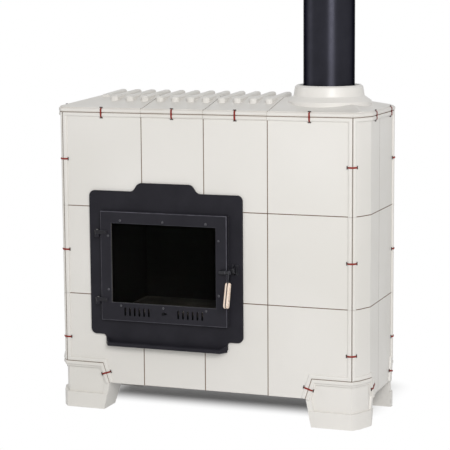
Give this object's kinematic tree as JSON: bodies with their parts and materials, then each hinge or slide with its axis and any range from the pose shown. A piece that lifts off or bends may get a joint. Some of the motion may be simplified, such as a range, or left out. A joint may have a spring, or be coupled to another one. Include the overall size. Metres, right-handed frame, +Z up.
{
  "type": "tiled stove",
  "caption": "Free-standing tiled stove: clipped glazed tiles on corner feet, a ribbed top with a flue collar and pipe, and an iron insert with a glazed hinged door, lever latch and air slide.",
  "frame": {"origin": "centre of the bounding box at floor level", "axes": "+Z up, -Y out of the glazed front, +X to the right seen from the front"},
  "size_m": [1.2038, 0.5286, 1.515],
  "materials": {
    "glazed_tile": "gloss",
    "black_cast_iron": "matt stove paint",
    "black_steel": "matt",
    "bare_steel": "plain",
    "sheet_steel": "matt",
    "flue_enamel": "satin",
    "door_glass": "clear",
    "fibre_rope": "woven",
    "firebrick": "rough",
    "grip_wood": "oiled",
    "clip_wire": "dull"
  },
  "bodies": {
    "stove": {"back_tiles_bottom": "glazed_tile", "back_tiles_middle": "glazed_tile", "back_tiles_top": "glazed_tile", "baffle_plate": "sheet_steel", "base_plate": "sheet_steel", "clip_pins": "bare_steel", "clip_wires": "clip_wire", "firebox_shell": "sheet_steel", "firebrick_floor": "firebrick", "firebrick_walls": "firebrick", "flue_pipe": "flue_enamel", "foot_front_left": "glazed_tile", "foot_front_right": "glazed_tile", "foot_rear_left": "glazed_tile", "foot_rear_right": "glazed_tile", "front_plate": "black_cast_iron", "front_tile_bottom_1": "glazed_tile", "front_tile_bottom_2": "glazed_tile", "front_tile_bottom_3": "glazed_tile", "front_tile_bottom_4": "glazed_tile", "front_tile_middle_1": "glazed_tile", "front_tile_middle_3": "glazed_tile", "front_tile_middle_4": "glazed_tile", "front_tile_top_1": "glazed_tile", "front_tile_top_2": "glazed_tile", "front_tile_top_3": "glazed_tile", "front_tile_top_4": "glazed_tile", "hinge_lugs": "black_cast_iron", "hinge_pins": "bare_steel", "latch_keeper": "black_cast_iron", "pipe_ring": "flue_enamel", "side_tile_left_front_bottom": "glazed_tile", "side_tile_left_front_middle": "glazed_tile", "side_tile_left_front_top": "glazed_tile", "side_tile_left_rear_bottom": "glazed_tile", "side_tile_left_rear_middle": "glazed_tile", "side_tile_left_rear_top": "glazed_tile", "side_tile_right_front_bottom": "glazed_tile", "side_tile_right_front_middle": "glazed_tile", "side_tile_right_front_top": "glazed_tile", "side_tile_right_rear_bottom": "glazed_tile", "side_tile_right_rear_middle": "glazed_tile", "side_tile_right_rear_top": "glazed_tile", "smoke_chamber": "sheet_steel", "stand_legs": "sheet_steel", "top_plate_1": "glazed_tile", "top_plate_2": "glazed_tile", "top_plate_3": "glazed_tile", "top_plate_4": "glazed_tile"},
    "door": {"door_frame": "black_cast_iron", "door_glass": "door_glass", "glass_gasket": "fibre_rope", "glass_retainer": "bare_steel", "glass_screws": "bare_steel", "door_seal": "fibre_rope", "hinge_straps": "black_steel", "latch_barrel": "black_cast_iron"},
    "latch": {"latch_lever": "black_steel", "grip_scales": "grip_wood"},
    "air_slide": {"air_slide": "bare_steel"}
  },
  "joints": [
    {"name": "door_hinge", "type": "hinge", "parent": "stove", "child": "door", "pos_m": [-0.408, -0.2036, 0.5465], "axis": [0, 0, -1], "range_deg": [0, 120]},
    {"name": "latch_turn", "type": "hinge", "parent": "door", "child": "latch", "pos_m": [0.108, -0.2186, 0.5475], "axis": [-1, 0, 0], "range_deg": [0, 75]},
    {"name": "air_slide_travel", "type": "slide", "parent": "door", "child": "air_slide", "axis": [1, 0, 0], "range_m": [0, 0.0093]}
  ]
}
